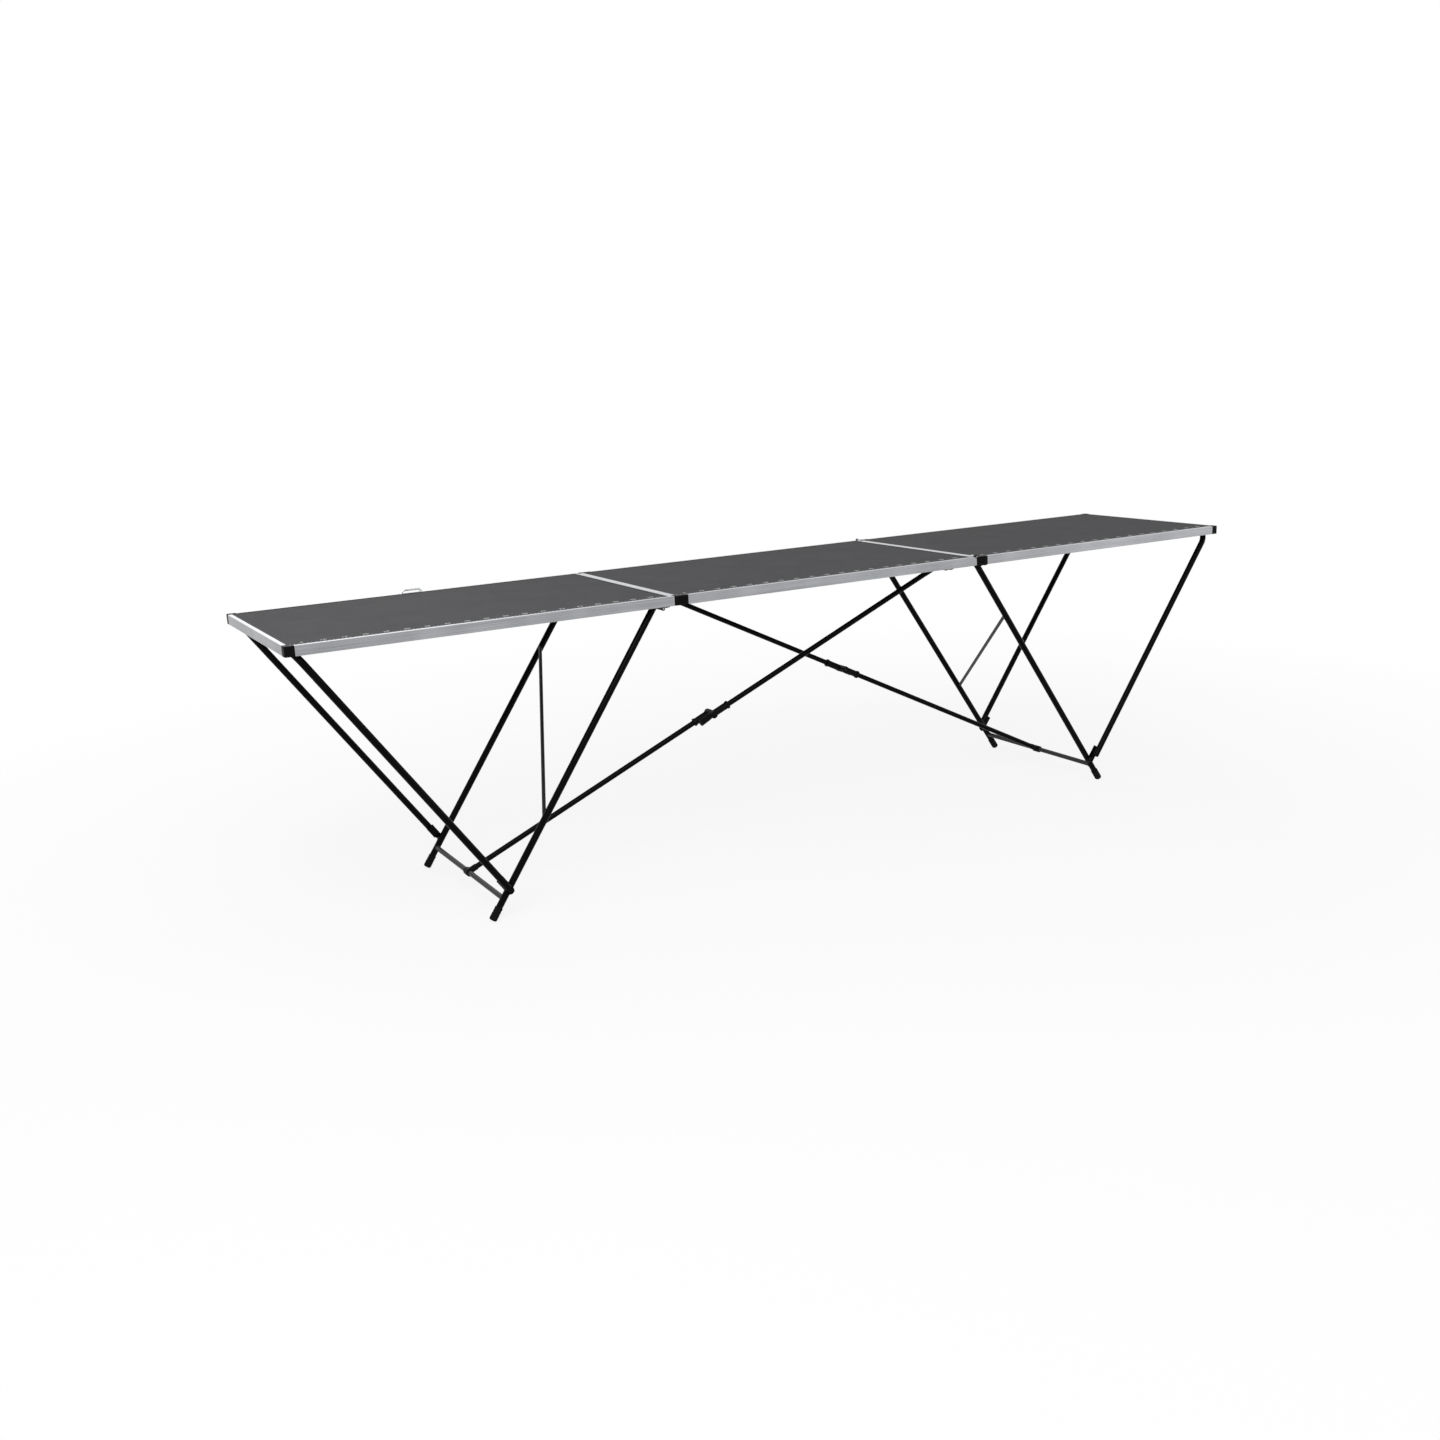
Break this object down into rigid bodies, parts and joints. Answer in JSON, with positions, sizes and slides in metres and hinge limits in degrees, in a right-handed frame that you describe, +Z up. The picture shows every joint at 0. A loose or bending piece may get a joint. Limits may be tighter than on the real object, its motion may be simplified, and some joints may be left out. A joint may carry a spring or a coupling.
{
  "type": "folding pasting table",
  "caption": "Long narrow folding work table with aluminium-edged dark boards, splayed tube legs, hooked struts, knee-jointed cross braces and a carry handle.",
  "frame": {"origin": "centre of the outer box in plan, on the floor plane the feet stand on", "axes": "+X along the table from the panel that folds under to the panel that folds over, +Y from the ruler edge to the handle edge, +Z up"},
  "size_m": [3, 0.611, 0.7905],
  "materials": {
    "board_grey": "matt dark grey coating on thin fibreboard",
    "aluminium_rail": "brushed extruded section",
    "black_tube": "gloss black powder coat",
    "grey_steel": "dark grey coat",
    "black_plastic": "moulded, fine satin",
    "rubber_foot": "matt",
    "zinc_steel": "bright zinc plate"
  },
  "bodies": {
    "middle_panel": {"middle_board": "board_grey", "middle_front_rail": "aluminium_rail", "middle_back_rail": "aluminium_rail", "middle_left_end_rail": "aluminium_rail", "middle_right_end_rail": "aluminium_rail", "middle_corner_blocks": "black_plastic", "middle_hinge_leaves": "zinc_steel", "middle_hinge_lugs": "zinc_steel", "middle_hinge_pins": "zinc_steel", "middle_brace_brackets": "black_tube"},
    "left_panel": {"left_board": "board_grey", "left_front_rail": "aluminium_rail", "left_back_rail": "aluminium_rail", "left_outer_end_rail": "aluminium_rail", "left_inner_end_rail": "aluminium_rail", "left_corner_blocks": "black_plastic", "left_leg_brackets": "black_tube", "left_leg_bolts": "zinc_steel", "left_strut_clips": "black_plastic", "left_hinge_leaves": "zinc_steel", "left_hinge_pins": "zinc_steel", "left_handle_lugs": "zinc_steel"},
    "left_leg": {"left_leg_tubes": "black_tube", "left_leg_crossbar": "grey_steel", "left_leg_diagonal": "grey_steel", "left_leg_feet": "rubber_foot", "left_strut_pins": "zinc_steel"},
    "left_strut": {"left_strut_frame": "black_tube"},
    "left_brace_lower": {"left_brace_lower_tube": "black_tube", "left_brace_sleeve": "black_plastic", "left_knee_lower_socket": "black_plastic", "left_knee_pin": "zinc_steel"},
    "left_brace_upper": {"left_brace_upper_tube": "black_tube", "left_knee_upper_socket": "black_plastic", "left_brace_end": "black_tube"},
    "right_panel": {"right_board": "board_grey", "right_front_rail": "aluminium_rail", "right_back_rail": "aluminium_rail", "right_outer_end_rail": "aluminium_rail", "right_inner_end_rail": "aluminium_rail", "right_corner_blocks": "black_plastic", "right_leg_brackets": "black_tube", "right_leg_bolts": "zinc_steel", "right_strut_clips": "black_plastic", "right_hinge_blocks": "black_plastic"},
    "right_leg": {"right_leg_tubes": "black_tube", "right_leg_crossbar": "grey_steel", "right_leg_diagonal": "grey_steel", "right_leg_feet": "rubber_foot", "right_strut_pins": "zinc_steel"},
    "right_strut": {"right_strut_frame": "black_tube"},
    "right_brace_lower": {"right_brace_lower_tube": "black_tube", "right_brace_sleeve": "black_plastic", "right_knee_lower_socket": "black_plastic", "right_knee_pin": "zinc_steel"},
    "right_brace_upper": {"right_brace_upper_tube": "black_tube", "right_knee_upper_socket": "black_plastic", "right_brace_end": "black_tube"},
    "carry_handle": {"carry_handle": "zinc_steel"}
  },
  "joints": [
    {"name": "left_panel_fold", "type": "hinge", "parent": "middle_panel", "child": "left_panel", "pos_m": [-0.5, -0.0055, 0.739], "axis": [0, -1, 0], "range_deg": [0, 180]},
    {"name": "right_panel_fold", "type": "hinge", "parent": "middle_panel", "child": "right_panel", "pos_m": [0.5, -0.0055, 0.7805], "axis": [0, -1, 0], "range_deg": [0, 180]},
    {"name": "left_leg_fold", "type": "hinge", "parent": "left_panel", "child": "left_leg", "pos_m": [-0.528, -0.0055, 0.765], "axis": [0, 1, 0], "range_deg": [0, 55.81]},
    {"name": "right_leg_fold", "type": "hinge", "parent": "right_panel", "child": "right_leg", "pos_m": [0.528, -0.0055, 0.765], "axis": [0, -1, 0], "range_deg": [0, 55.81]},
    {"name": "left_strut_fold", "type": "hinge", "parent": "left_panel", "child": "left_strut", "pos_m": [-1.479, -0.0055, 0.765], "axis": [0, -1, 0], "range_deg": [0, 55]},
    {"name": "right_strut_fold", "type": "hinge", "parent": "right_panel", "child": "right_strut", "pos_m": [1.479, -0.0055, 0.765], "axis": [0, 1, 0], "range_deg": [0, 55]},
    {"name": "left_brace_fold", "type": "hinge", "parent": "left_leg", "child": "left_brace_lower", "pos_m": [-1.01146, -0.0055, 0.05376], "axis": [0, -1, 0], "range_deg": [0, 27.14]},
    {"name": "right_brace_fold", "type": "hinge", "parent": "right_leg", "child": "right_brace_lower", "pos_m": [1.01146, -0.0055, 0.05376], "axis": [0, 1, 0], "range_deg": [0, 27.14]},
    {"name": "left_brace_hang", "type": "hinge", "parent": "middle_panel", "child": "left_brace_upper", "pos_m": [0.4, -0.0055, 0.766], "axis": [0, 1, 0], "range_deg": [0, 24.85]},
    {"name": "right_knee_fold", "type": "hinge", "parent": "right_brace_lower", "child": "right_brace_upper", "pos_m": [0.3111, -0.0055, 0.40717], "axis": [0, -1, 0], "range_deg": [0, 176.18]},
    {"name": "handle_swing", "type": "hinge", "parent": "left_panel", "child": "carry_handle", "pos_m": [-1, 0.3, 0.765], "axis": [-1, 0, 0], "range_deg": [0, 170]}
  ],
  "couplings": [
    {"joint": "right_panel_fold", "follows": "left_panel_fold", "ratio": 1},
    {"joint": "left_leg_fold", "follows": "left_panel_fold", "ratio": 0.30997},
    {"joint": "left_strut_fold", "follows": "left_panel_fold", "ratio": 0.30545},
    {"joint": "left_brace_fold", "follows": "left_panel_fold", "ratio": 0.15066},
    {"joint": "right_leg_fold", "follows": "left_panel_fold", "ratio": 0.30997},
    {"joint": "right_strut_fold", "follows": "left_panel_fold", "ratio": 0.30545},
    {"joint": "right_brace_fold", "follows": "left_panel_fold", "ratio": 0.15066},
    {"joint": "left_brace_hang", "follows": "left_panel_fold", "ratio": 0.13796},
    {"joint": "right_knee_fold", "follows": "left_panel_fold", "ratio": 0.97866}
  ]
}
